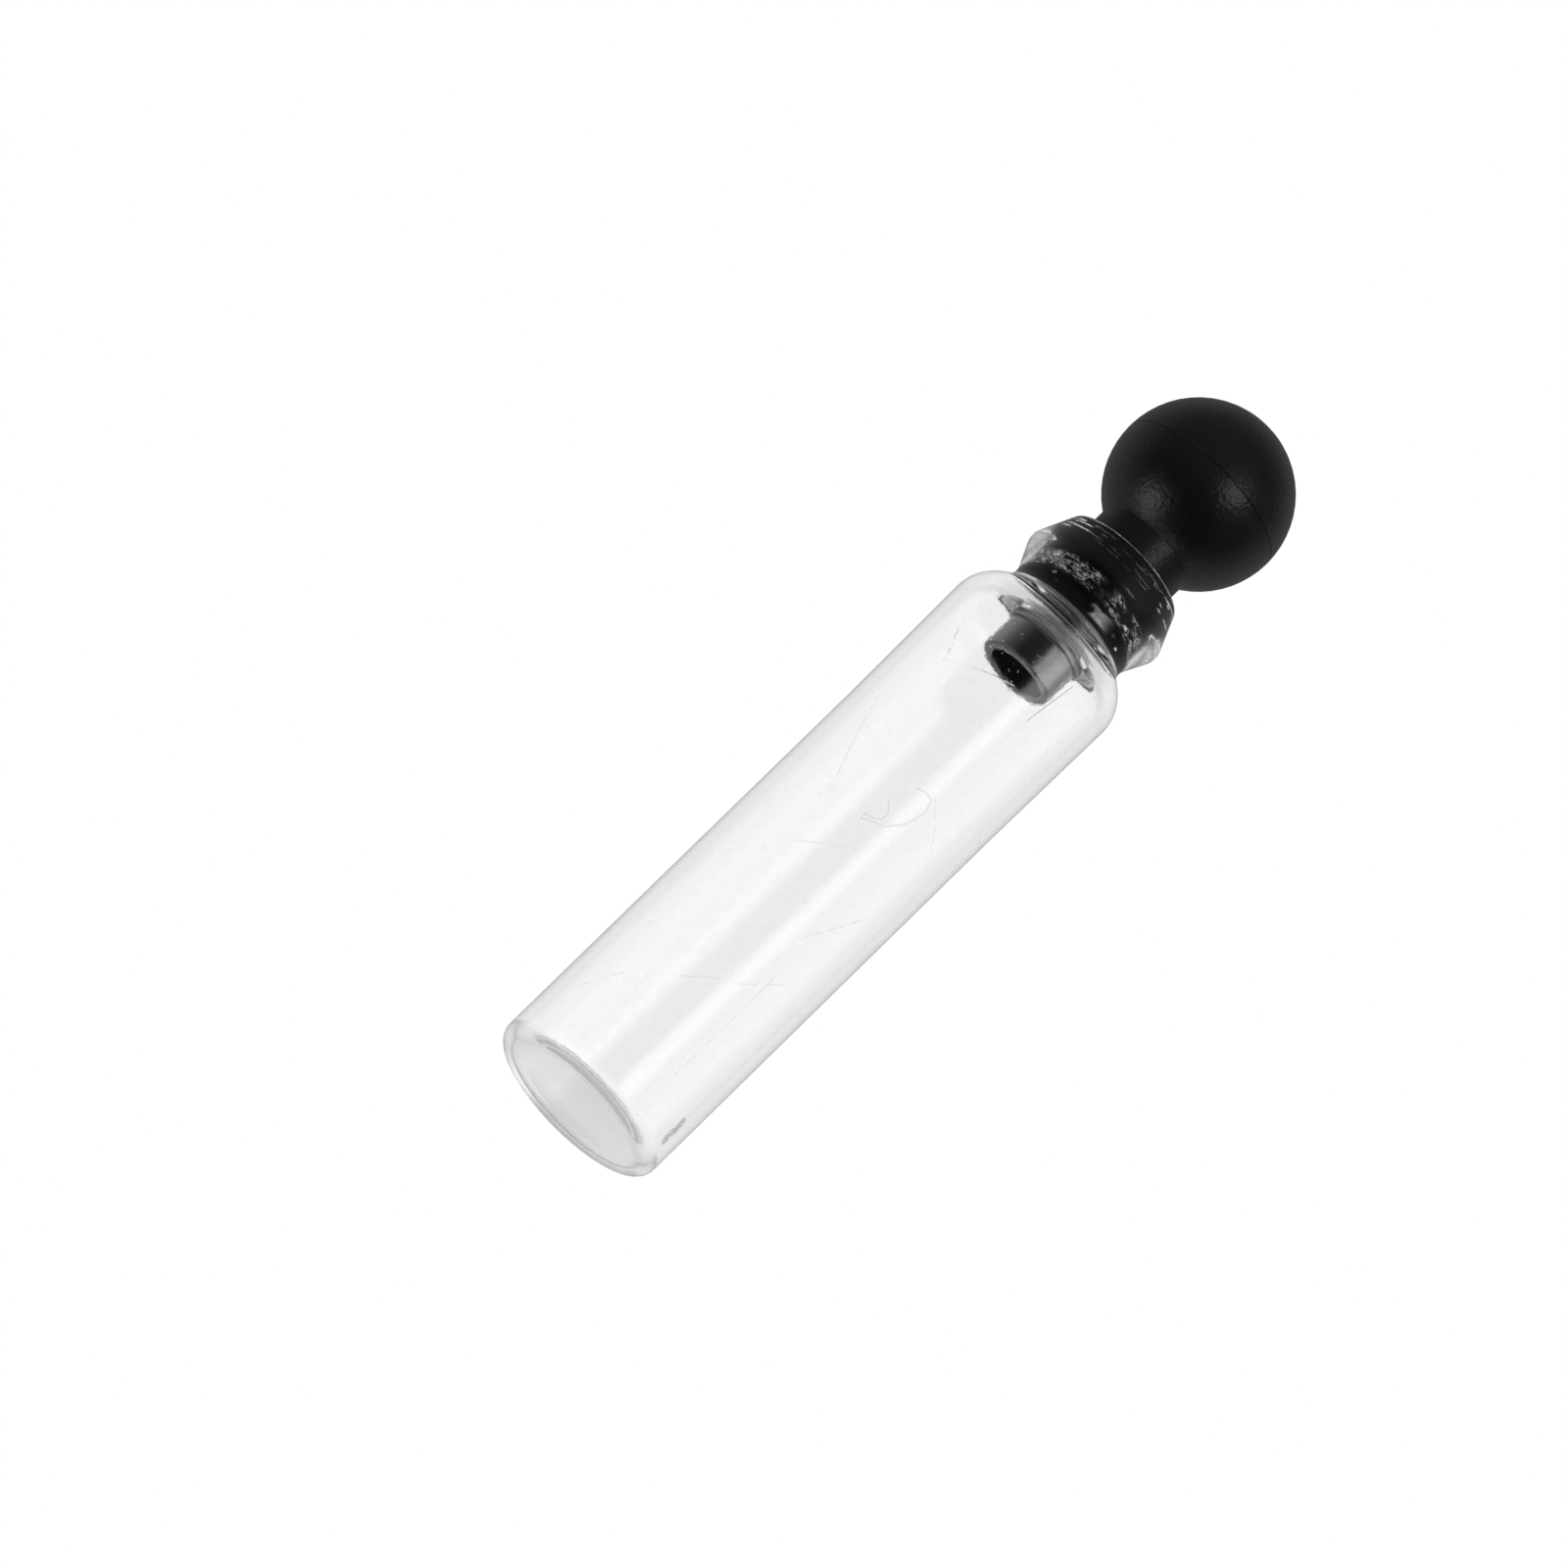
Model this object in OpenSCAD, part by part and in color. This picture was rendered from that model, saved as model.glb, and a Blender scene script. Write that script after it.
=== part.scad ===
// Small clear glass vial with a moulded ball stopper, standing upright on its base.
// The base's middle is at the origin and +Z runs up the axis.

/* [Body] */
// Outside diameter of the straight body
body_d = 7.55; // [7:0.05:9]
// Height at which the shoulder starts
body_h = 25; // [16:0.1:34]
// Thickness of the side wall
wall = 0.4; // [0.35:0.05:0.8]
// Radius that the tube gains just below the shoulder
swell = 0.07; // [0:0.01:0.15]
// Height over which it gains that radius
swell_h = 6; // [2:0.5:10]

/* [Base] */
// Thickness of the floor, from the surface that the vial stands on
floor_t = 0.4; // [0.3:0.05:1.2]
// Radius of the rounded outside edge
base_edge = 0.5; // [0.2:0.05:0.8]
// Radius of the rounded inside corner
floor_edge = 0.3; // [0.2:0.05:1.2]
// Width of the flat ring that the vial stands on
foot_w = 0.45; // [0.2:0.05:1]
// Height of the hollow inside that ring
base_rise = 0.08; // [0.02:0.01:0.2]

/* [Shoulder and neck] */
// Radius of the outside curve of the shoulder
shoulder_curve = 1.6; // [1.1:0.05:2]
// Length of the straight slope between the shoulder's curve and the neck's
slope_length = 0.1; // [0.05:0.05:0.6]
// Narrowest outside diameter of the neck
neck_d = 5.43; // [5:0.01:6]
// Radius of the hollow curve round the neck
neck_curve = 0.85; // [0.5:0.05:0.9]
// Radius of the curve inside the shoulder
ceiling_curve = 1.7; // [1.1:0.05:1.9]
// How far below the shoulder that curve starts
ceiling_drop = 0.4; // [0.2:0.05:0.6]
// Inside diameter of the neck
bore_d = 3.7; // [3.2:0.05:4]
// Radius of the rounded edge where the bore opens into the body
bore_edge = 0.25; // [0.15:0.05:0.9]

/* [Lip] */
// Largest diameter of the lip
lip_d = 6.5; // [6:0.05:7]
// Radius of the lip's widest curve
lip_curve = 0.5; // [0.2:0.05:0.55]
// Height of the lip's widest ring above the narrowest ring of the neck
lip_rise = 1.47; // [1.3:0.02:2.2]
// Outside diameter of the mouth
mouth_d = 5.34; // [5:0.02:5.8]
// Height of the mouth above the lip's widest ring
mouth_rise = 1.6; // [1.2:0.02:2.2]
// Radius of the two melted edges of the mouth
mouth_edge = 0.12; // [0.05:0.01:0.16]

/* [Stopper] */
// Diameter of the ball
ball_d = 7.28; // [5:0.02:7.8]
// Height of the ball's middle above the mouth
ball_rise = 4.22; // [4:0.02:5]
// Depth of the parting line round the ball
parting_depth = 0.03; // [0.01:0.01:0.06]
// How far the collar reaches out past the bore
collar_lap = 0.19; // [0.17:0.01:0.5]
// Length of the plug below the mouth
plug_l = 4.42; // [3.8:0.02:6]
// Gap between the plug and the bore
plug_gap = 0.055; // [0.04:0.005:0.1]
// Gap between the sealing ribs and the bore
rib_gap = 0.02; // [0.01:0.005:0.03]
// Number of sealing ribs
rib_count = 4; // [2:1:6]
// Spacing of the ribs
rib_pitch = 0.6; // [0.4:0.05:0.65]
// Depth of the first rib below the mouth
rib_start = 0.6; // [0.4:0.05:0.9]
// Radius of a rib's rounded crest
rib_crest = 0.15; // [0.12:0.01:0.18]
// Length of the skirt below the plug
skirt_l = 1.6; // [0.8:0.05:2.5]
// Step in from the plug to the skirt
skirt_step = 0.17; // [0.05:0.01:0.3]
// Thickness of the skirt's wall
skirt_wall = 0.42; // [0.3:0.02:0.7]
// Depth of the hollow up inside the skirt
hollow_h = 3.5; // [2:0.1:5]
// Radius of the rounded edges of plug and skirt
plug_edge = 0.08; // [0.03:0.01:0.12]

/* [Hidden] */
$fn = 128;
arc_steps = 10;
dish_steps = 6;

body_r = body_d / 2;
bore_r = bore_d / 2;
neck_r = neck_d / 2;
lip_r = lip_d / 2;
mouth_r = mouth_d / 2;
swell_z = body_h - swell_h;
foot_r = body_r - base_edge - foot_w;

// Rounds of the outside, each its centre and its radius, with a negative radius for a hollow one
base_round = [[body_r - base_edge, base_edge], base_edge];
shoulder_round = [[body_r + swell - shoulder_curve, body_h], shoulder_curve];
neck_x = neck_r + neck_curve;
neck_z = body_h + rise_over(shoulder_curve + neck_curve, slope_length, neck_x - shoulder_round[0][0]);
neck_round = [[neck_x, neck_z], -neck_curve];
lip_z = neck_z + lip_rise;
lip_round = [[lip_r - lip_curve, lip_z], lip_curve];
mouth_z = lip_z + mouth_rise;
mouth_round = [[mouth_r - mouth_edge, mouth_z - mouth_edge], mouth_edge];

// Rounds of the hollow inside
floor_round = [[body_r - wall - floor_edge, floor_t + floor_edge], floor_edge];
ceiling_z = body_h - ceiling_drop;
ceiling_round = [[body_r + swell - wall - ceiling_curve, ceiling_z], ceiling_curve];
bore_x = bore_r + bore_edge;
bore_z = ceiling_z + rise_over(ceiling_curve + bore_edge, slope_length, bore_x - ceiling_round[0][0]);
bore_round = [[bore_x, bore_z], -bore_edge];
rim_round = [[bore_r + mouth_edge, mouth_z - mouth_edge], -mouth_edge];

// Stopper
ball_r = ball_d / 2;
ball_z = mouth_z + ball_rise;
collar_r = bore_r + collar_lap;
plug_r = bore_r - plug_gap;
rib_r = bore_r - rib_gap;
plug_z = mouth_z - plug_l;
skirt_r = plug_r - skirt_step;
skirt_z = plug_z - skirt_l;
hollow_r = skirt_r - skirt_wall;

// Height between two rounds that a straight slope joins, from the sum of their radii,
// the length of the slope and the distance between their centres across the axis
function rise_over(radii, slope, across) = sqrt(radii * radii + slope * slope - across * across);

// Angle of the outward normal on the straight line that touches two rounds
function tangent(p, q) =
    let (d = q[0] - p[0])
    atan2(d[1], d[0]) - acos((p[1] - q[1]) / norm(d));

// Points of a round between two angles of its normal
function arc(round, a, b) =
    [for (i = [0 : arc_steps])
        let (t = a + (b - a) * i / arc_steps)
        round[0] + round[1] * [cos(t), sin(t)]];

// Outline over a row of rounds, from a first normal to a last one
function chain(rounds, a, b) =
    let (last = len(rounds) - 1,
         turns = [a, for (i = [1 : last]) tangent(rounds[i - 1], rounds[i]), b])
    [for (i = [0 : last]) each arc(rounds[i], turns[i], turns[i + 1])];

function reversed(points) = [for (i = [len(points) - 1 : -1 : 0]) points[i]];

// Hollow of the base, from the axis out to the flat ring
function dish() =
    [for (i = [0 : dish_steps])
        let (k = i / dish_steps)
        [foot_r * k, base_rise * (1 - k * k)]];

function vial_outside() = concat(
    dish(),
    arc(base_round, -90, 0),
    [[body_r, swell_z]],
    chain([shoulder_round, neck_round, lip_round, mouth_round], 0, 90));

function vial_inside() = concat(
    [[0, floor_t]],
    arc(floor_round, -90, 0),
    [[body_r - wall, swell_z]],
    chain([ceiling_round, bore_round], 0, 0),
    arc(rim_round, 0, -90));

// Section of the plug with the skirt below it and the hollow up inside them
function plug_section() = concat(
    [[0, skirt_z + hollow_h], [hollow_r, skirt_z + hollow_h]],
    arc([[hollow_r + plug_edge, skirt_z + plug_edge], -plug_edge], 0, 90),
    arc([[skirt_r - plug_edge, skirt_z + plug_edge], plug_edge], -90, 0),
    [[skirt_r, plug_z]],
    arc([[plug_r - plug_edge, plug_z + plug_edge], plug_edge], -90, 0),
    [[plug_r, mouth_z], [0, mouth_z]]);

module ball() {
    difference() {
        translate([0, 0, ball_z])
            sphere(r = ball_r);
        translate([0, 0, ball_z])
            rotate_extrude()
                translate([ball_r, 0])
                    circle(r = parting_depth);
    }
}

module collar() {
    translate([0, 0, mouth_z])
        cylinder(r = collar_r, h = ball_rise);
}

module ribs() {
    for (i = [0 : rib_count - 1])
        translate([0, 0, mouth_z - rib_start - i * rib_pitch])
            rotate_extrude()
                translate([rib_r - rib_crest, 0])
                    circle(r = rib_crest);
}

module glass_vial() {
    color([0.86, 0.9, 0.91, 0.35])
        rotate_extrude()
            polygon(concat(vial_outside(), reversed(vial_inside())));
}

module ball_stopper() {
    color([0.06, 0.06, 0.065]) {
        ball();
        collar();
        ribs();
        rotate_extrude()
            polygon(plug_section());
    }
}

glass_vial();
ball_stopper();
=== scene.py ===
"""Glass sample vial with a ball stopper: the looks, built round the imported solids."""

import math

import bmesh
import bpy
from mathutils import Matrix, Vector, noise


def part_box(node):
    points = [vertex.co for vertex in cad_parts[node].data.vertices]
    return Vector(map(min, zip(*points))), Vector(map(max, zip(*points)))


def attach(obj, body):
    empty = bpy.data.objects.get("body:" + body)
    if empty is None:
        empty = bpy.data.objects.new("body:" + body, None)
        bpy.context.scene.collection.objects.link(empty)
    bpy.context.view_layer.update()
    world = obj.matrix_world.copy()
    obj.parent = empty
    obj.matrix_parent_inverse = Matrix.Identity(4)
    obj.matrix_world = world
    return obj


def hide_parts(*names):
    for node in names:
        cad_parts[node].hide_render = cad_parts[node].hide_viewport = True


bl_info = {
    "name": "Glass sample vial",
    "version": (1, 0, 0),
    "blender": (4, 5, 0),
    "location": "3D View > Sidebar > Vial",
    "description": "Builds a small glass vial with a moulded ball stopper, and its studio",
    "category": "Add Mesh",
}

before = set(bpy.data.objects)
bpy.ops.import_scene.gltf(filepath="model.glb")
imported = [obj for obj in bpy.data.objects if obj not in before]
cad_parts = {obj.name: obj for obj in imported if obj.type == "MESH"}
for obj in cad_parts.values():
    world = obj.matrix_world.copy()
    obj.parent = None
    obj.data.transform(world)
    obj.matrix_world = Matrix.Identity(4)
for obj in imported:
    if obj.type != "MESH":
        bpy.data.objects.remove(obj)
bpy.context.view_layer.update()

MM = 0.001
# Distance under which two points of a solid are one
WELD = 1e-7
# Angle between two faces above which their edge stays crisp
CRISP = math.radians(35)

# Marks on the front of the body, as points of millimetres round the skin and millimetres up it
SCRATCHES = (
    ((-2.4, 21.4), (0.4, 22.5)),
    ((-2.9, 22.8), (-2.2, 21.3)),
    ((1.6, 21.9), (1.9, 24.2)),
    ((1.3, 17.2), (2.7, 16.0)),
    ((-1.5, 12.0), (0.6, 13.6)),
    ((1.0, 6.6), (2.5, 8.2)),
    ((-0.6, 5.3), (0.5, 6.3)),
    ((-3.3, 2.8), (-2.2, 4.1)),
    ((1.9, 2.6), (1.9, 8.0)),
    ((2.9, 12.3), (1.4, 9.5)),
    ((-2.0, 15.2), (-3.4, 18.9)),
)
FIBRE = (
    (0.47, 16.9), (0.85, 17.08), (1.22, 17.04), (1.4, 16.48), (1.14, 15.6), (0.66, 14.97), (0.02, 14.65),
    (-0.16, 14.5), (-0.2, 14.76), (0.2, 14.9), (0.4, 15.06), (0.42, 15.4), (0.25, 15.63), (0.05, 15.78),
)
CHIP = ((3.9, 1.95), (4.0, 1.6), (3.9, 1.3), (3.98, 1.0))
SPOT = ((-1.8, 14.7), (-1.78, 14.7))
# How far each mark reaches to either side of its middle line, in millimetres
SCRATCH_WIDTH = 0.035
FIBRE_WIDTH = 0.045
CHIP_WIDTH = 0.26
SPOT_WIDTH = 0.35

# Air bubbles between plug and bore: depth below the mouth, angle round the axis and radius
BUBBLES = ((2.69, -44, 0.09), (2.93, -29, 0.07), (2.8, -132, 0.06), (2.45, -141, 0.08), (2.75, 60, 0.09))
# Thin rings of air near the mouth, as millimetres below it, and how far each reaches up and down
AIR_RINGS = (0.3, 0.42, 0.7, 0.9)
RING_HALF = 0.02
AIR_THICKNESS = 0.03

VIAL_LOW, VIAL_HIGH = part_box("glass_vial")
MOUTH_Z = VIAL_HIGH.z
# The frame's box holds the swell below the shoulder, which stands this far out of the body
SWELL_MM = 0.07
BODY_RADIUS_MM = VIAL_HIGH.x / MM - SWELL_MM
BORE_RADIUS_MM = 1.85

# Heights in millimetres over which the neck's ripples set in, and the bore's folds begin and end
RIPPLE_RISE = (26.2, 27.0)
FOLDS_LOW = (27.9, 28.0)
FOLDS_HIGH = (28.7, 28.9)
# Depths in millimetres below the mouth over which each kind of trapped air begins and ends
THREADS_TOP = (1.35, 1.5)
THREADS_BOTTOM = (2.1, 2.25)
PATCH_TOP = (2.35, 2.45)
PATCH_BOTTOM = (2.9, 3.15)
# Reflections after which a ray in the glass goes straight on
CAUGHT_AFTER = 2.5

# Distances between the rows of points up the glass and up the plug
GLASS_ROW = 0.3 * MM
PLUG_ROW = 0.03 * MM

# Soft lights: angles from the camera to the wide ones, and those at which each fades out
RIGHT_TURN = math.radians(60)
LEFT_TURN = math.radians(85)
KEY_FADE = math.radians(14)
RIGHT_FADE = math.radians(50)
FILL_FADE = math.radians(15)
LEFT_FADE = math.radians(48)

# Middle of the whole object, which the camera circles, and the point at the picture's middle
CAMERA_CENTRE = Vector((0.0, 0.0, 0.019))
CAMERA_TARGET = Vector((-0.00305, 0.0, 0.01463))
# Height of the lamps' target, as a share of the vial's
LAMP_AIM = 0.63
LAMP_DISTANCE = 0.6
RIGHT_LAMP = (0.60, -0.75, 0.286)
LEFT_LAMP = (-0.534, -0.407, -0.740)
TOP_LAMP = (0.3, -0.2, 0.93)


class Link:
    """An output socket of a shader node, on which arithmetic adds Math nodes."""

    def __init__(self, nodes, socket):
        self.nodes = nodes
        self.socket = socket

    def math(self, operation, *values):
        return self.nodes.make("ShaderNodeMath", {"operation": operation}, values)

    def __add__(self, other):
        return self.math("ADD", self, other)

    __radd__ = __add__

    def __sub__(self, other):
        return self.math("SUBTRACT", self, other)

    def __rsub__(self, other):
        return self.math("SUBTRACT", other, self)

    def __mul__(self, other):
        return self.math("MULTIPLY", self, other)

    __rmul__ = __mul__

    def __pow__(self, other):
        return self.math("POWER", self, other)

    def __abs__(self):
        return self.math("ABSOLUTE", self)

    def least(self, other):
        return self.math("MINIMUM", self, other)

    def most(self, other):
        return self.math("MAXIMUM", self, other)

    def step(self, low, high, bottom=0.0, top=1.0):
        """Rises smoothly from bottom to top as this value goes from low to high."""
        return self.nodes.make(
            "ShaderNodeMapRange",
            {"interpolation_type": "SMOOTHSTEP"},
            (self, low, high, bottom, top),
        )


class Nodes:
    """Makes the nodes of one material or world."""

    def __init__(self, owner):
        owner.use_nodes = True
        self.tree = owner.node_tree
        self.tree.nodes.clear()

    def make(self, kind, settings=None, values=(), output=0):
        """Adds a node of a type, with its settings first and then its sockets' values or links."""
        node = self.tree.nodes.new(kind)
        for name, value in (settings or {}).items():
            setattr(node, name, value)
        pairs = values.items() if isinstance(values, dict) else enumerate(values)
        for key, value in pairs:
            if isinstance(value, Link):
                self.tree.links.new(value.socket, node.inputs[key])
            else:
                node.inputs[key].default_value = value
        return Link(self, node.outputs[output]) if node.outputs else None

    def place(self, scale=(1.0, 1.0, 1.0)):
        """Object coordinates in millimetres, scaled."""
        metres = self.make("ShaderNodeTexCoord", output="Object")
        factors = tuple(s / MM for s in scale)
        return self.make("ShaderNodeMapping", None, {"Vector": metres, "Scale": factors})

    def axes(self, vector):
        """The three numbers of a vector."""
        return [self.make("ShaderNodeSeparateXYZ", None, (vector,), output=i) for i in range(3)]

    def vector(self, operation, *values, scale=None, output="Vector"):
        """Vector Math of one or two vectors."""
        sockets = dict(enumerate(values))
        if scale is not None:
            sockets["Scale"] = scale
        return self.make("ShaderNodeVectorMath", {"operation": operation}, sockets, output)

    def noise(self, vector, scale, detail=2.0, roughness=0.5):
        return self.make(
            "ShaderNodeTexNoise",
            None,
            {"Vector": vector, "Scale": scale, "Detail": detail, "Roughness": roughness},
        )

    def blend(self, factor, low, high):
        """Mixes two colours."""
        return self.make(
            "ShaderNodeMix", {"data_type": "RGBA"}, {"Factor": factor, "A": low, "B": high}, output="Result"
        )

    def bump(self, height):
        """Tilts the surface by a height in millimetres."""
        return self.make("ShaderNodeBump", None, {"Strength": 1.0, "Distance": MM, "Height": height})


def stroke(nodes, flat, points, width):
    """A thin line through points on the unrolled skin, 1 on the line and 0 beside it."""
    nearest = None
    for start, end in zip(points, points[1:]):
        start, end = Vector((*start, 0.0)), Vector((*end, 0.0))
        way = (end - start).normalized()
        from_start = nodes.vector("SUBTRACT", flat, start)
        run = nodes.vector("DOT_PRODUCT", from_start, way, output="Value")
        run = run.most(0.0).least((end - start).length)
        foot = nodes.vector("SCALE", way, scale=run)
        gap = nodes.vector("DISTANCE", from_start, foot, output="Value")
        nearest = nearest.least(gap) if nearest else gap
    return nearest.step(width * 0.4, width, 1.0, 0.0)


def wear(nodes, reach, turn, up):
    """Marks on the glass where the photo shows them: scratches, a fibre, a spot and specks, and apart
    from them the chipped patch."""
    flat = nodes.make("ShaderNodeCombineXYZ", None, (turn * BODY_RADIUS_MM, up, 0.0))
    outside = reach.step(BODY_RADIUS_MM - 0.2, BODY_RADIUS_MM - 0.1)
    scratches = None
    for scratch in SCRATCHES:
        line = stroke(nodes, flat, scratch, SCRATCH_WIDTH)
        scratches = scratches.most(line) if scratches else line
    broken = nodes.noise(nodes.place(), 4.0, detail=2.0).step(0.38, 0.5)
    fibre = stroke(nodes, flat, FIBRE, FIBRE_WIDTH)
    chip = nodes.noise(flat, 7.0, detail=3.0).step(0.34, 0.44) * stroke(nodes, flat, CHIP, CHIP_WIDTH)
    specks = nodes.noise(nodes.place(), 9.0, detail=2.0).step(0.7, 0.76)
    grain = nodes.noise(nodes.place(), 5.0, detail=3.0).step(0.35, 0.7) * 0.12
    spot = stroke(nodes, flat, SPOT, SPOT_WIDTH) * 0.35
    marks = (scratches * broken * 0.8).most(fibre).most(specks * 0.6).most(spot).most(grain)
    return marks * outside, chip * outside


def glass_material(look):
    material = bpy.data.materials.new("clear_glass")
    nodes = Nodes(material)
    along, aside, up = nodes.axes(nodes.place())
    reach = (along * along + aside * aside) ** 0.5
    turn = along.math("ARCTAN2", along, aside * -1.0)
    marks, chip = wear(nodes, reach, turn, up)
    waves = nodes.noise(nodes.place(scale=(1.0, 1.0, 0.12)), 0.55, detail=2.0) * up.step(0.5, 2.0)
    edge = nodes.make("ShaderNodeLayerWeight", None, (0.5,), output="Facing")
    pits = nodes.noise(nodes.place(), 4.5, detail=4.0, roughness=0.7) * edge.step(0.3, 0.75, 1.0, 0.1)
    # Painted shade: the glass is tinted darker where it is seen edge on, in place of the dark surroundings
    # that real glass shows at its edges
    tint = nodes.blend(edge.step(0.4, 1.0), (*look.glass_colour, 1.0), (*look.edge_shade_colour, 1.0))
    tint = nodes.blend(marks, tint, (*look.mark_colour, 1.0))
    tint = nodes.blend(chip, tint, (*look.chip_colour, 1.0))
    in_bore = reach.step(look.bore_radius / MM + 0.1, look.bore_radius / MM + 0.3, 1.0, 0.0)
    band = up.step(*FOLDS_LOW) * up.step(*FOLDS_HIGH, 1.0, 0.0)
    folds = nodes.noise(nodes.place(scale=(0.5, 0.5, 3.0)), 3.0, detail=3.0)
    folds = abs(folds - 0.5).step(0.0, 0.12) * in_bore * band
    round_neck = up.step(*RIPPLE_RISE)
    ripple = nodes.noise(nodes.place(), 6.0, detail=4.0, roughness=0.6) * round_neck
    height = waves * 0.03 + pits * 0.002 + marks * -0.012 + chip * -0.03
    height = height + folds * look.fold_depth + ripple * 0.008
    normal = nodes.bump(height)
    surface = nodes.make(
        "ShaderNodeBsdfPrincipled",
        None,
        {
            "Base Color": tint,
            "Roughness": up.step(0.15, look.foot_height, look.foot_roughness, 0.0),
            "IOR": look.glass_ior,
            "Transmission Weight": 1.0,
            "Normal": normal,
        },
    )
    rubbed = nodes.make(
        "ShaderNodeBsdfPrincipled",
        None,
        {"Base Color": (*look.rub_colour, 1.0), "Roughness": 0.6, "IOR": look.glass_ior, "Normal": normal},
    )
    on_foot = up.step(0.2, 0.4, look.rub_cover, 0.0) * reach.step(BODY_RADIUS_MM - 1.0, BODY_RADIUS_MM - 0.6)
    surface = nodes.make("ShaderNodeMixShader", None, (on_foot, surface, rubbed))
    # A ray caught in the wall goes straight on after three reflections, where the renderer would drop it
    turns_back = nodes.make("ShaderNodeLightPath", output="Glossy Depth")
    caught = turns_back.math("GREATER_THAN", turns_back, CAUGHT_AFTER)
    clear = nodes.make("ShaderNodeBsdfTransparent")
    surface = nodes.make("ShaderNodeMixShader", None, (caught, surface, clear))
    nodes.make("ShaderNodeOutputMaterial", None, {"Surface": surface})
    return material


def trapped_air(nodes):
    """Air held between plug and glass, which shines like silver: broken threads among the ribs and a
    pale patch below them. It shows only through glass, so a stopper that is pulled out is plain."""
    in_glass = nodes.make("ShaderNodeLightPath", output="Transmission Depth").least(1.0)
    across, ahead, up = nodes.axes(nodes.place())
    depth = MOUTH_Z / MM - up
    bearing = across.math("ARCTAN2", across, ahead * -1.0)
    ribs = depth.step(*THREADS_TOP) * depth.step(*THREADS_BOTTOM, 1.0, 0.0)
    field = nodes.noise(nodes.place(scale=(1.0, 1.0, 5.0)), 1.9, detail=3.0, roughness=0.6)
    threads = abs(field - 0.5).step(0.008, 0.024, 1.0, 0.0)
    islands = field.step(0.62, 0.63) * 0.8
    cover = nodes.noise(nodes.place(scale=(1.0, 1.0, 2.0)), 1.1, detail=2.0).step(0.4, 0.5)
    cover = cover * abs(bearing - 0.06).step(0.08, 0.3, 0.08, 1.0)
    wobble = nodes.noise(nodes.place(), 1.6, detail=2.0) * 0.5 - 0.25
    patch = (bearing + wobble).step(0.08, 0.16) * bearing.step(0.3, 0.75, 1.0, 0.0)
    patch = patch * (depth + wobble).step(*PATCH_TOP) * depth.step(*PATCH_BOTTOM, 1.0, 0.0)
    return (threads.most(islands) * cover * ribs).most(patch * 0.3) * in_glass


def plastic_material(name, look, ior, level, roughness, grain, pressed=False):
    """Black moulded plastic with a fine leathery grain."""
    material = bpy.data.materials.new(name)
    nodes = Nodes(material)
    place = nodes.place()
    cells = nodes.make(
        "ShaderNodeTexVoronoi",
        {"feature": "SMOOTH_F1"},
        {"Vector": place, "Scale": 1.0 / look.grain_size, "Smoothness": 0.6},
    )
    fine = nodes.noise(place, 2.0 / look.grain_size, detail=3.0)
    patch = nodes.noise(place, 0.5, detail=2.0)
    colour = nodes.blend(patch.step(0.35, 0.7), (*look.plastic_colour, 1.0), (*look.plastic_worn_colour, 1.0))
    height = cells * (0.7 * grain) + fine * (0.3 * grain)
    metallic = 0.0
    if pressed:
        silver = trapped_air(nodes)
        metallic = silver.step(0.0, 0.1)
        colour = nodes.blend(silver, colour, (*look.silver_colour, 1.0))
        height = height + silver * nodes.noise(place, 7.0, detail=2.0) * 0.08
    normal = nodes.bump(height)
    surface = nodes.make(
        "ShaderNodeBsdfPrincipled",
        None,
        {
            "Base Color": colour,
            "Metallic": metallic,
            "Roughness": patch * 0.12 + (roughness - 0.06),
            "IOR": ior,
            "Specular IOR Level": level,
            "Normal": normal,
        },
    )
    nodes.make("ShaderNodeOutputMaterial", None, {"Surface": surface})
    return material


def half_section(node):
    """The outline of a solid's section on the +X side of the axis, as edges in a new bmesh."""
    bm = bmesh.new()
    bm.from_mesh(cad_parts[node].data)
    bmesh.ops.remove_doubles(bm, verts=bm.verts, dist=WELD)
    for normal, clear in (((1, 0, 0), True), ((0, 1, 0), False)):
        cut = bmesh.ops.bisect_plane(
            bm,
            geom=[*bm.verts, *bm.edges, *bm.faces],
            dist=WELD,
            plane_co=(0, 0, 0),
            plane_no=normal,
            clear_inner=clear,
        )
    kept = {g for g in cut["geom_cut"] if isinstance(g, bmesh.types.BMEdge)}
    bmesh.ops.delete(bm, geom=bm.faces, context="FACES_ONLY")
    bmesh.ops.delete(bm, geom=[e for e in bm.edges if e not in kept], context="EDGES")
    loose = [v for v in bm.verts if not v.link_edges]
    bmesh.ops.delete(bm, geom=loose, context="VERTS")
    return bm


def add_rows(bm, low, high, step):
    """Adds points to the outline at each step of height."""
    count = round((high - low) / step)
    for i in range(count + 1):
        bmesh.ops.bisect_plane(
            bm,
            geom=[*bm.verts, *bm.edges],
            dist=WELD,
            plane_co=(0, 0, low + i * (high - low) / count),
            plane_no=(0, 0, 1),
        )


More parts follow.
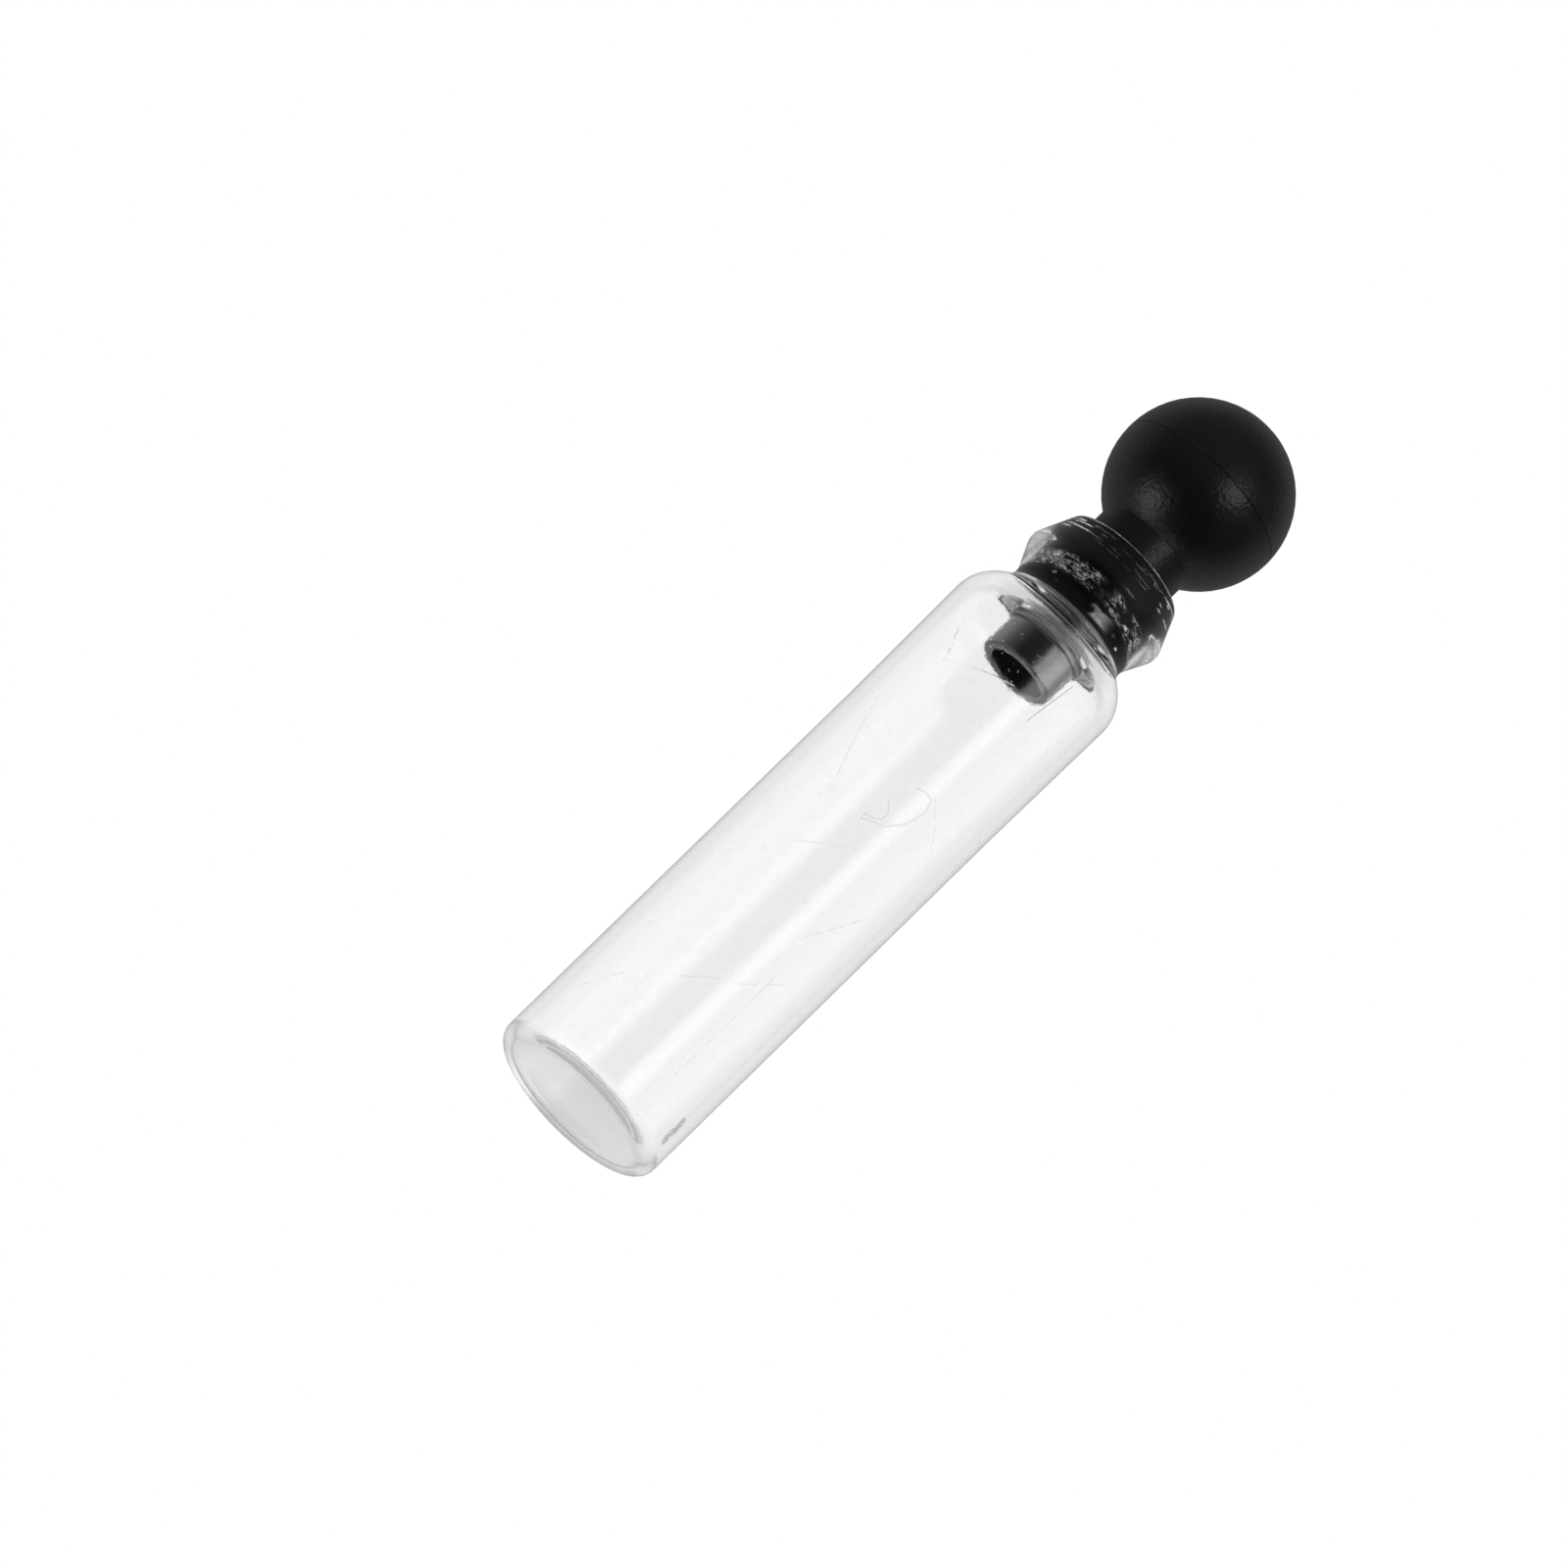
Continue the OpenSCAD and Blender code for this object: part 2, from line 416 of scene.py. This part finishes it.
def spin_outline(bm, steps):
    """Turns the outline once round the axis into a closed skin that faces outwards.

    One eighth is spun and then doubled three times, which is far quicker than one long spin.
    """
    angle = math.tau / 8
    bmesh.ops.spin(
        bm, geom=[*bm.verts, *bm.edges], cent=(0, 0, 0), axis=(0, 0, 1), angle=angle, steps=steps // 8
    )
    for _ in range(3):
        copy = bmesh.ops.duplicate(bm, geom=[*bm.verts, *bm.edges, *bm.faces])
        verts = [g for g in copy["geom"] if isinstance(g, bmesh.types.BMVert)]
        bmesh.ops.rotate(bm, cent=(0, 0, 0), matrix=Matrix.Rotation(angle, 3, "Z"), verts=verts)
        bmesh.ops.remove_doubles(bm, verts=bm.verts, dist=WELD)
        angle *= 2
    bmesh.ops.dissolve_degenerate(bm, edges=bm.edges, dist=WELD)
    bmesh.ops.recalc_face_normals(bm, faces=bm.faces)


def finish_piece(bm, name, materials, body, node):
    """Makes an object of a bmesh, rides it on its body and has it stand for its node."""
    for face in bm.faces:
        face.smooth = True
    for edge in bm.edges:
        edge.smooth = edge.calc_face_angle(0.0) < CRISP
    mesh = bpy.data.meshes.new(name)
    bm.to_mesh(mesh)
    bm.free()
    for material in materials:
        mesh.materials.append(material)
    piece = bpy.data.objects.new(name, mesh)
    bpy.context.scene.collection.objects.link(piece)
    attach(piece, body)
    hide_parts(node)


class VialLook(bpy.types.PropertyGroup):
    """Finish of the vial and its stopper."""

    turn_steps: bpy.props.IntProperty(
        name="Turn steps", description="Faces round the axis", default=256, min=64, max=512
    )
    glass_ior: bpy.props.FloatProperty(
        name="Glass IOR", description="Index of refraction of the glass", default=1.5
    )
    glass_colour: bpy.props.FloatVectorProperty(
        name="Glass", description="Tint of the glass", subtype="COLOR", default=(0.985, 0.988, 0.988)
    )
    # Painted shade: the colour that glass seen edge on is darkened to
    edge_shade_colour: bpy.props.FloatVectorProperty(
        name="Glass edge", description="Tint of the glass seen edge on", subtype="COLOR",
        default=(0.8, 0.81, 0.81)
    )
    mark_colour: bpy.props.FloatVectorProperty(
        name="Marks", description="Tint of scratches and specks in the glass", subtype="COLOR",
        default=(0.72, 0.72, 0.72)
    )
    chip_colour: bpy.props.FloatVectorProperty(
        name="Chip", description="Tint of the chipped patch low on the body", subtype="COLOR",
        default=(0.35, 0.35, 0.35)
    )
    silver_colour: bpy.props.FloatVectorProperty(
        name="Trapped air", description="Colour of the air between plug and glass", subtype="COLOR",
        default=(1.0, 1.0, 1.0)
    )
    fold_depth: bpy.props.FloatProperty(
        name="Fold depth", description="Depth in millimetres of the folds melted into the bore",
        default=0.12
    )
    foot_roughness: bpy.props.FloatProperty(
        name="Foot roughness", description="Roughness of the rubbed edge that the vial stands on",
        default=0.05
    )
    foot_height: bpy.props.FloatProperty(
        name="Foot height", description="Height in millimetres at which the rubbing ends", default=0.8
    )
    rub_colour: bpy.props.FloatVectorProperty(
        name="Rubbed foot", description="Colour of the rubbed edge", subtype="COLOR", default=(0.8, 0.8, 0.8)
    )
    rub_cover: bpy.props.FloatProperty(
        name="Rub cover", description="How much of the foot's edge is rubbed matt", subtype="FACTOR",
        default=0.25, min=0.0, max=1.0
    )
    plastic_colour: bpy.props.FloatVectorProperty(
        name="Plastic", description="Colour of the stopper", subtype="COLOR", default=(0.001, 0.001, 0.0011)
    )
    plastic_worn_colour: bpy.props.FloatVectorProperty(
        name="Plastic, rubbed", description="Colour of the stopper's rubbed places", subtype="COLOR",
        default=(0.0025, 0.0025, 0.0028)
    )
    grain_size: bpy.props.FloatProperty(
        name="Grain size", description="Size of the stopper's grain in millimetres", default=0.14
    )
    bore_radius: bpy.props.FloatProperty(
        name="Bore radius", description="Inside radius of the neck", subtype="DISTANCE",
        default=BORE_RADIUS_MM * MM
    )
    contact_depth: bpy.props.FloatProperty(
        name="Contact depth", description="How far the plug presses into the bore", subtype="DISTANCE",
        default=0.006 * MM
    )
    plug_bottom: bpy.props.FloatProperty(
        name="Plug's contact", description="Depth of the pressed length below the mouth", subtype="DISTANCE",
        default=3.4 * MM
    )


class StudioLook(bpy.types.PropertyGroup):
    """Floor, lamps and camera."""

    floor_radius: bpy.props.FloatProperty(
        name="Floor radius", description="Radius of the floor", subtype="DISTANCE", default=1.8
    )
    floor_colour: bpy.props.FloatVectorProperty(
        name="Floor", description="Colour of the floor", subtype="COLOR", default=(0.86, 0.86, 0.86)
    )
    camera_distance: bpy.props.FloatProperty(
        name="Camera distance", description="From the axis to the camera", subtype="DISTANCE", default=0.7
    )
    camera_below: bpy.props.FloatProperty(
        name="Camera below", description="Angle of the camera below the horizon", subtype="ANGLE",
        default=math.radians(19.54)
    )
    camera_roll: bpy.props.FloatProperty(
        name="Camera roll", description="Turn of the camera about its line of sight", subtype="ANGLE",
        default=math.radians(45.777)
    )
    camera_lens: bpy.props.FloatProperty(
        name="Lens", description="Focal length in millimetres", default=433.4
    )
    ambient: bpy.props.FloatProperty(
        name="Ambient", description="Strength of the sky for matt surfaces", default=0.5
    )
    front_level: bpy.props.FloatProperty(
        name="Front level", description="Strength of the room in front of the vial in glass", default=0.04
    )
    side_level: bpy.props.FloatProperty(
        name="Side level", description="Strength of the room beside the vial in glass", default=0.7
    )
    below_level: bpy.props.FloatProperty(
        name="Below level", description="Strength of the room below the vial in glass", default=0.5
    )
    mirror_level: bpy.props.FloatProperty(
        name="Mirror level", description="Strength of the room behind the vial in gloss", default=0.2
    )
    dim_level: bpy.props.FloatProperty(
        name="Dim level", description="Strength of the room in front of the vial in gloss", default=0.06
    )
    dark_level: bpy.props.FloatProperty(
        name="Dark level", description="Strength of the room low in front of the vial in gloss", default=0.01
    )
    key_turn: bpy.props.FloatProperty(
        name="Key turn", description="Angle of the key light to the right of the camera", subtype="ANGLE",
        default=math.radians(30)
    )
    key_rise: bpy.props.FloatProperty(
        name="Key rise", description="Angle of the key light above the horizon", subtype="ANGLE",
        default=math.radians(13.5)
    )
    fill_turn: bpy.props.FloatProperty(
        name="Fill turn", description="Angle of the fill light to the left of the camera", subtype="ANGLE",
        default=math.radians(66)
    )
    fill_drop: bpy.props.FloatProperty(
        name="Fill drop", description="Angle of the fill light below the horizon", subtype="ANGLE",
        default=math.radians(54)
    )

    def lights(self):
        """Each soft light's direction, the angle at which it fades out, and its strengths in glass
        and in gloss."""
        rows = (
            (self.key_turn, self.key_rise, KEY_FADE, 0.9, 1.8),
            (RIGHT_TURN, self.key_rise, RIGHT_FADE, 1.45, 0.0),
            (-self.fill_turn, -self.fill_drop, FILL_FADE, 0.0, 1.9),
            (-LEFT_TURN, self.key_rise, LEFT_FADE, 0.25, 0.0),
        )
        for turn, rise, size, in_glass, in_gloss in rows:
            level = math.cos(rise)
            way = Vector((math.sin(turn) * level, -math.cos(turn) * level, math.sin(rise)))
            yield way, size, in_glass, in_gloss


def press_plug(bm, look):
    """Presses the plug's upper length against the bore, in rings with fine air gaps between them."""
    low = MOUTH_Z - look.plug_bottom
    for v in bm.verts:
        reach = math.hypot(v.co.x, v.co.y)
        if not (low < v.co.z < MOUTH_Z - 0.02 * MM and reach > look.bore_radius - 0.08 * MM):
            continue
        depth = (MOUTH_Z - v.co.z) / MM
        turn = math.atan2(v.co.y, v.co.x)
        target = look.bore_radius + look.contact_depth - air_gap(depth, turn) * MM
        v.co.x *= target / reach
        v.co.y *= target / reach


def air_gap(depth, turn):
    """Width of the air between plug and glass, in millimetres, at a depth below the mouth."""
    round_way = Vector((math.cos(turn), math.sin(turn), 0.0))
    gap = 0.0
    for ring in AIR_RINGS:
        place = round_way * 1.7 + Vector((0, 0, ring * 5))
        near = abs(depth - ring - 0.05 * noise.noise(place)) < RING_HALF
        if near and noise.noise(place * 2.0) > -0.05:
            gap = AIR_THICKNESS
    for bubble_depth, bubble_turn, radius in BUBBLES:
        aside = math.remainder(turn - math.radians(bubble_turn), math.tau) * BORE_RADIUS_MM
        if math.hypot(aside, depth - bubble_depth) < radius:
            gap = AIR_THICKNESS
    return gap


class VIAL_OT_glass(bpy.types.Operator):
    """Builds the blown glass vial"""

    bl_idname = "vial.glass"
    bl_label = "Glass vial"

    def execute(self, context):
        look = context.scene.vial_look
        bm = half_section("glass_vial")
        add_rows(bm, VIAL_LOW.z + GLASS_ROW, VIAL_HIGH.z - GLASS_ROW, GLASS_ROW)
        spin_outline(bm, look.turn_steps)
        finish_piece(bm, "vial_glass", [glass_material(look)], "vial", "glass_vial")
        return {"FINISHED"}


class VIAL_OT_stopper(bpy.types.Operator):
    """Builds the moulded stopper with its ball, collar, plug and skirt"""

    bl_idname = "vial.stopper"
    bl_label = "Ball stopper"

    def execute(self, context):
        look = context.scene.vial_look
        bm = half_section("ball_stopper")
        add_rows(bm, MOUTH_Z - look.plug_bottom, MOUTH_Z, PLUG_ROW)
        spin_outline(bm, look.turn_steps * 5 // 4)
        press_plug(bm, look)
        satin = plastic_material(
            "satin_plastic", look, ior=1.5, level=1.0, roughness=0.36, grain=0.018
        )
        pressed = plastic_material(
            "pressed_plastic", look, ior=1.5, level=0.1, roughness=0.3, grain=0.004, pressed=True
        )
        glossy = plastic_material(
            "glossy_plastic", look, ior=1.8, level=1.0, roughness=0.16, grain=0.002
        )
        for face in bm.faces:
            depth = MOUTH_Z - face.calc_center_median().z
            face.material_index = 0 if depth < 0 else 1 if depth < look.plug_bottom else 2
        materials = [satin, pressed, glossy]
        finish_piece(bm, "stopper_moulding", materials, "stopper", "ball_stopper")
        return {"FINISHED"}


def floor_material(look):
    """Pale matt floor that is seen only from above."""
    material = bpy.data.materials.new("pale_floor")
    nodes = Nodes(material)
    under = nodes.make("ShaderNodeNewGeometry", output="Backfacing")
    matt = nodes.make("ShaderNodeBsdfDiffuse", None, {"Color": (*look.floor_colour, 1.0)})
    clear = nodes.make("ShaderNodeBsdfTransparent")
    surface = nodes.make("ShaderNodeMixShader", None, (under, matt, clear))
    nodes.make("ShaderNodeOutputMaterial", None, {"Surface": surface})
    return material


def sky(look):
    """Surroundings: white straight on. In gloss and glass they are white behind the vial, dimmer at its
    sides and dark in front of it, where the soft lights hang."""
    world = bpy.data.worlds.new("studio_sky")
    bpy.context.scene.world = world
    nodes = Nodes(world)
    direction = nodes.make("ShaderNodeTexCoord", output="Generated")
    across, ahead, up = nodes.axes(direction)
    gloss = nodes.make("ShaderNodeLightPath", output="Is Glossy Ray")
    through = nodes.make("ShaderNodeLightPath", output="Transmission Depth").least(1.0)
    camera = nodes.make("ShaderNodeLightPath", output="Is Camera Ray")
    behind = ahead.step(0.3, 0.92, look.side_level, 1.0)
    front = ahead.step(-0.45, 0.35, 1.0, 0.0) * up.step(0.1, 0.25) * up.step(0.5, 0.8, 1.0, 0.0)
    seen = behind * (1.0 - front * (1.0 - look.front_level))
    seen = seen * up.step(-0.35, -0.1, look.below_level, 1.0)
    mirrored = ahead.step(-0.2, 0.6, up.step(-0.3, 0.2, look.dark_level, look.dim_level), look.mirror_level)
    for way, size, in_glass, in_gloss in look.lights():
        near = across * way.x + ahead * way.y + up * way.z
        lobe = near.step(math.cos(size), 1.0)
        seen = seen + lobe * in_glass
        mirrored = mirrored + lobe * in_gloss
    room = through * seen + (1.0 - through) * gloss * mirrored
    matt = 1.0 - through.most(gloss)
    strength = camera + (1.0 - camera) * (room + matt * look.ambient)
    shade = nodes.make("ShaderNodeBackground", None, {"Color": (1.0, 1.0, 1.0, 1.0), "Strength": strength})
    nodes.make("ShaderNodeOutputWorld", None, {"Surface": shade})


def softbox(name, direction, size, strength, target):
    """A square lamp in a direction from the target, which it faces, with a radiance of strength."""
    light = bpy.data.lights.new(name, "AREA")
    light.shape = "SQUARE"
    light.size = size
    light.energy = strength * math.pi * size * size
    lamp = bpy.data.objects.new(name, light)
    away = Vector(direction).normalized()
    lamp.location = target + away * LAMP_DISTANCE
    lamp.rotation_euler = away.to_track_quat("Z", "Y").to_euler()
    lamp.visible_glossy = False
    lamp.visible_transmission = False
    bpy.context.scene.collection.objects.link(lamp)


class VIAL_OT_stage(bpy.types.Operator):
    """Builds the floor, the lamps and the camera"""

    bl_idname = "vial.stage"
    bl_label = "Stage"

    def execute(self, context):
        look = context.scene.vial_studio
        bm = bmesh.new()
        bmesh.ops.create_circle(bm, cap_ends=True, segments=64, radius=look.floor_radius)
        mesh = bpy.data.meshes.new("floor")
        bm.to_mesh(mesh)
        bm.free()
        mesh.materials.append(floor_material(look))
        floor = bpy.data.objects.new("floor", mesh)
        context.scene.collection.objects.link(floor)
        floor.visible_glossy = False
        floor.visible_transmission = False
        floor.visible_shadow = False
        sky(look)
        middle = Vector((0.0, 0.0, VIAL_HIGH.z * LAMP_AIM))
        softbox("softbox_right", RIGHT_LAMP, size=0.42, strength=2.0, target=middle)
        softbox("softbox_left", LEFT_LAMP, size=0.3, strength=2.0, target=middle)
        softbox("softbox_top", TOP_LAMP, size=0.5, strength=1.3, target=middle)
        self.aim_camera(context, look)
        view = context.scene.view_settings
        view.view_transform = "Standard"
        return {"FINISHED"}

    def aim_camera(self, context, look):
        """Camera in front of and below the vial, rolled so that the vial lies along the diagonal."""
        data = bpy.data.cameras.new("camera")
        data.lens = look.camera_lens
        data.sensor_width = 36.0
        data.clip_start = 0.01
        data.clip_end = 20.0
        camera = bpy.data.objects.new("camera", data)
        below = look.camera_below
        away = Vector((0.0, -math.cos(below), -math.sin(below)))
        camera.location = CAMERA_CENTRE + away * look.camera_distance
        aim = (CAMERA_TARGET - camera.location).to_track_quat("-Z", "Y")
        turned = aim.to_matrix().to_4x4() @ Matrix.Rotation(look.camera_roll, 4, "Z")
        camera.rotation_euler = turned.to_euler()
        context.scene.collection.objects.link(camera)
        context.scene.camera = camera


class VIAL_PT_panel(bpy.types.Panel):
    """Sizes, finishes and the steps that build the vial"""

    bl_idname = "VIAL_PT_panel"
    bl_label = "Glass sample vial"
    bl_space_type = "VIEW_3D"
    bl_region_type = "UI"
    bl_category = "Vial"

    def draw(self, context):
        for group in (context.scene.vial_look, context.scene.vial_studio):
            box = self.layout.box()
            for name in group.__annotations__:
                box.prop(group, name)
        for operator in OPERATORS:
            self.layout.operator(operator.bl_idname)


OPERATORS = (VIAL_OT_glass, VIAL_OT_stopper, VIAL_OT_stage)
CLASSES = (VialLook, StudioLook, *OPERATORS, VIAL_PT_panel)


def register():
    for cls in CLASSES:
        bpy.utils.register_class(cls)
    bpy.types.Scene.vial_look = bpy.props.PointerProperty(type=VialLook)
    bpy.types.Scene.vial_studio = bpy.props.PointerProperty(type=StudioLook)


def unregister():
    del bpy.types.Scene.vial_studio
    del bpy.types.Scene.vial_look
    for cls in reversed(CLASSES):
        bpy.utils.unregister_class(cls)


def main():
    register()
    for step in (bpy.ops.vial.stage, bpy.ops.vial.glass, bpy.ops.vial.stopper):
        step()


if __name__ == "__main__":
    main()
